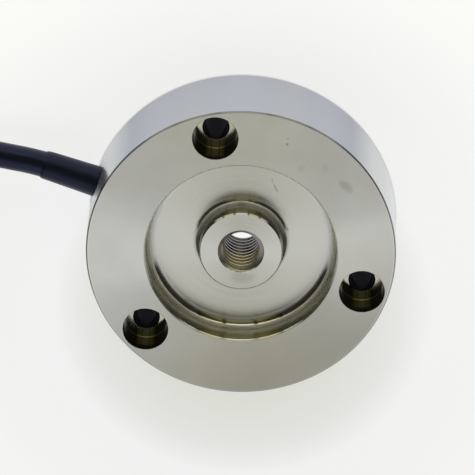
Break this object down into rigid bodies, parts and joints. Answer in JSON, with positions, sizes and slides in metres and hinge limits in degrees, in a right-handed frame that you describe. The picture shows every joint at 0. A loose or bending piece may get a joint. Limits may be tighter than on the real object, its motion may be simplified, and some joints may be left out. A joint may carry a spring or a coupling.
{
  "type": "tension and compression load cell",
  "caption": "Flat round stainless load cell: threaded centre boss in a machined recess, thin diaphragm, counterbored screw holes and a side cable.",
  "frame": {"origin": "centre of the rear mounting face, which the disc lies on", "axes": "+Z along the load axis, out of the recessed front face; +X to the right and +Y up as the picture looks at the front face"},
  "size_m": [0.1489, 0.0769, 0.016],
  "materials": {
    "stainless_steel": "turned and ground stainless steel, satin",
    "cover_steel": "rolled stainless sheet, welded at both edges",
    "circuit_board": "green solder resist on glass laminate",
    "seal_resin": "black sealing resin",
    "heat_shrink": "black heat-shrink tubing",
    "cable_jacket": "smooth black cable sheath",
    "tinned_copper": "tinned copper wire",
    "gauge_film": "amber film with a metal foil grid",
    "copper_wire": "fine copper wire",
    "chip_ceramic": "ceramic chip with tinned end caps",
    "red_insulation": "coloured core insulation",
    "black_insulation": "coloured core insulation",
    "green_insulation": "coloured core insulation",
    "white_insulation": "coloured core insulation"
  },
  "bodies": {
    "root": {"load_cell_body": "stainless_steel", "rear_cover": "cover_steel", "terminal_board": "circuit_board", "cable_seal": "seal_resin", "strain_relief_sleeve": "heat_shrink", "cable": "cable_jacket", "cable_coil": "cable_jacket", "cable_tail": "cable_jacket", "end_sleeve": "heat_shrink", "inner_screen_wire": "tinned_copper", "screen_tail": "tinned_copper", "tinned_wire_ends": "tinned_copper", "strain_gauge_inner_1": "gauge_film", "strain_gauge_inner_2": "gauge_film", "strain_gauge_inner_3": "gauge_film", "strain_gauge_inner_4": "gauge_film", "strain_gauge_outer_1": "gauge_film", "strain_gauge_outer_2": "gauge_film", "strain_gauge_outer_3": "gauge_film", "strain_gauge_outer_4": "gauge_film", "gauge_leads_inner_1": "copper_wire", "gauge_leads_inner_2": "copper_wire", "gauge_leads_inner_3": "copper_wire", "gauge_leads_inner_4": "copper_wire", "gauge_leads_outer_1": "copper_wire", "gauge_leads_outer_2": "copper_wire", "gauge_leads_outer_3": "copper_wire", "gauge_leads_outer_4": "copper_wire", "zero_balance_resistor": "chip_ceramic", "zero_temperature_resistor": "chip_ceramic", "span_resistor": "chip_ceramic", "span_temperature_resistor": "chip_ceramic", "inner_core_red": "red_insulation", "core_tail_red": "red_insulation", "inner_core_black": "black_insulation", "core_tail_black": "black_insulation", "inner_core_green": "green_insulation", "core_tail_green": "green_insulation", "inner_core_white": "white_insulation", "core_tail_white": "white_insulation"}
  },
  "joints": []
}
